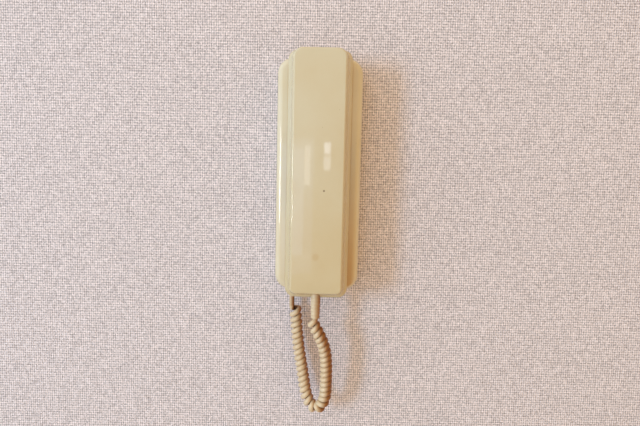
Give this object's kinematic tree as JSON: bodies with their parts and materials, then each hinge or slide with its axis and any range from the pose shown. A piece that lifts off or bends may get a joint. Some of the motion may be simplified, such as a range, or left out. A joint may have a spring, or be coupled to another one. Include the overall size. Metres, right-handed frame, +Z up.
{
  "type": "wall handset station",
  "caption": "Slim wall-hung interphone station: a slab handset hangs face-in over a rounded base, with a curly cord looping below.",
  "frame": {"origin": "on the wall, midway between the two wall screws", "axes": "+Z up, +Y into the wall, +X to the right seen from the front"},
  "size_m": [0.082, 0.062, 0.3559],
  "materials": {
    "base_ivory": "glossy moulded ABS, yellowed with age",
    "handset_ivory": "glossy moulded ABS, yellowed with age",
    "cap_ivory": "glossy moulded ABS",
    "cord_vinyl": "smooth soft vinyl",
    "black_plastic": "matt",
    "light_plastic": "satin",
    "zinc_steel": "zinc plated",
    "board_laminate": "phenolic laminate",
    "core_iron": "dark, lightly varnished",
    "winding_copper": "enamelled wire under varnish",
    "capacitor_sleeve": "shrink sleeve",
    "resistor_body": "lacquered",
    "speaker_steel": "bright",
    "speaker_paper": "pressed paper",
    "capsule_plastic": "matt",
    "black_rubber": "matt",
    "lead_vinyl": "smooth"
  },
  "bodies": {
    "base": {"wall_plate": "zinc_steel", "base_cover": "base_ivory", "ear_pocket": "base_ivory", "mouth_pocket": "base_ivory", "base_chassis": "black_plastic", "cover_screw": "zinc_steel", "circuit_board": "board_laminate", "board_screws": "zinc_steel", "transformer_core": "core_iron", "transformer_winding": "winding_copper", "capacitors": "capacitor_sleeve", "resistors": "resistor_body", "signal_chip": "black_plastic", "terminal_block": "light_plastic", "terminal_screws": "zinc_steel", "speaker_frame": "speaker_steel", "speaker_cone": "speaker_paper", "speaker_magnet": "core_iron", "hook_pin": "zinc_steel", "hook_spring": "zinc_steel", "hook_switch": "black_plastic", "button_switch": "black_plastic", "volume_potentiometer": "zinc_steel", "cord_grommet": "cord_vinyl", "base_leads": "lead_vinyl", "base_cord_tail": "cord_vinyl", "curly_cord": "cord_vinyl", "handset_cord_tail": "cord_vinyl"},
    "handset": {"handset_outer_shell": "handset_ivory", "handset_inner_shell": "handset_ivory", "ear_cap": "cap_ivory", "mouth_cap": "cap_ivory", "receiver_capsule": "capsule_plastic", "receiver_gasket": "black_rubber", "microphone": "speaker_steel", "microphone_boot": "black_rubber", "handset_weight": "core_iron", "handset_screws": "zinc_steel", "strain_relief": "cord_vinyl", "handset_leads": "lead_vinyl"},
    "hook_lever": {"hook_lever": "light_plastic"},
    "call_button": {"call_button": "light_plastic"},
    "volume_slider": {"volume_slider": "black_plastic"}
  },
  "joints": [
    {"name": "handset_lift", "type": "slide", "parent": "base", "child": "handset", "axis": [0, -0.9397, 0.342], "range_m": [0, 0.06]},
    {"name": "hook_turn", "type": "hinge", "parent": "base", "child": "hook_lever", "pos_m": [0, -0.0085, 0.046], "axis": [1, 0, 0], "range_deg": [0, 12]},
    {"name": "call_press", "type": "slide", "parent": "base", "child": "call_button", "axis": [0, 1, 0], "range_m": [0, 0.002], "stiffness_N_per_m": 500},
    {"name": "volume_slide", "type": "slide", "parent": "base", "child": "volume_slider", "axis": [1, 0, 0], "range_m": [-0.004, 0.004]}
  ],
  "couplings": [
    {"joint": "hook_turn", "follows": "handset_lift", "rad_per_m": 3.49}
  ]
}
